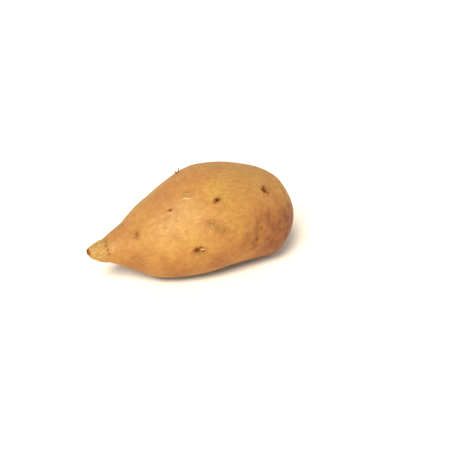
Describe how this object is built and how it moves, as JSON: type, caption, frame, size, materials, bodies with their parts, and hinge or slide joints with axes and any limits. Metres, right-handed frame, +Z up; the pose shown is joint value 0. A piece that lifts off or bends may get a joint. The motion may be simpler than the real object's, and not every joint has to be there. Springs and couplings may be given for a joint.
{
  "type": "sweet potato",
  "caption": "Whole tan-skinned sweet potato lying on its side: a plump root with a slender tail at one end and a blunt crown at the other.",
  "frame": {"origin": "on the table, under the middle of the root's bounding box", "axes": "+X along the root from the tail tip to the crown, +Z up as it lies"},
  "size_m": [0.159, 0.0806, 0.0777],
  "materials": {
    "potato_skin": "thin matte root skin, tan to orange-brown, with darker eyes, pale streaks and a dry, corky tail"
  },
  "bodies": {
    "root": {"sweet_potato": "potato_skin"}
  },
  "joints": []
}
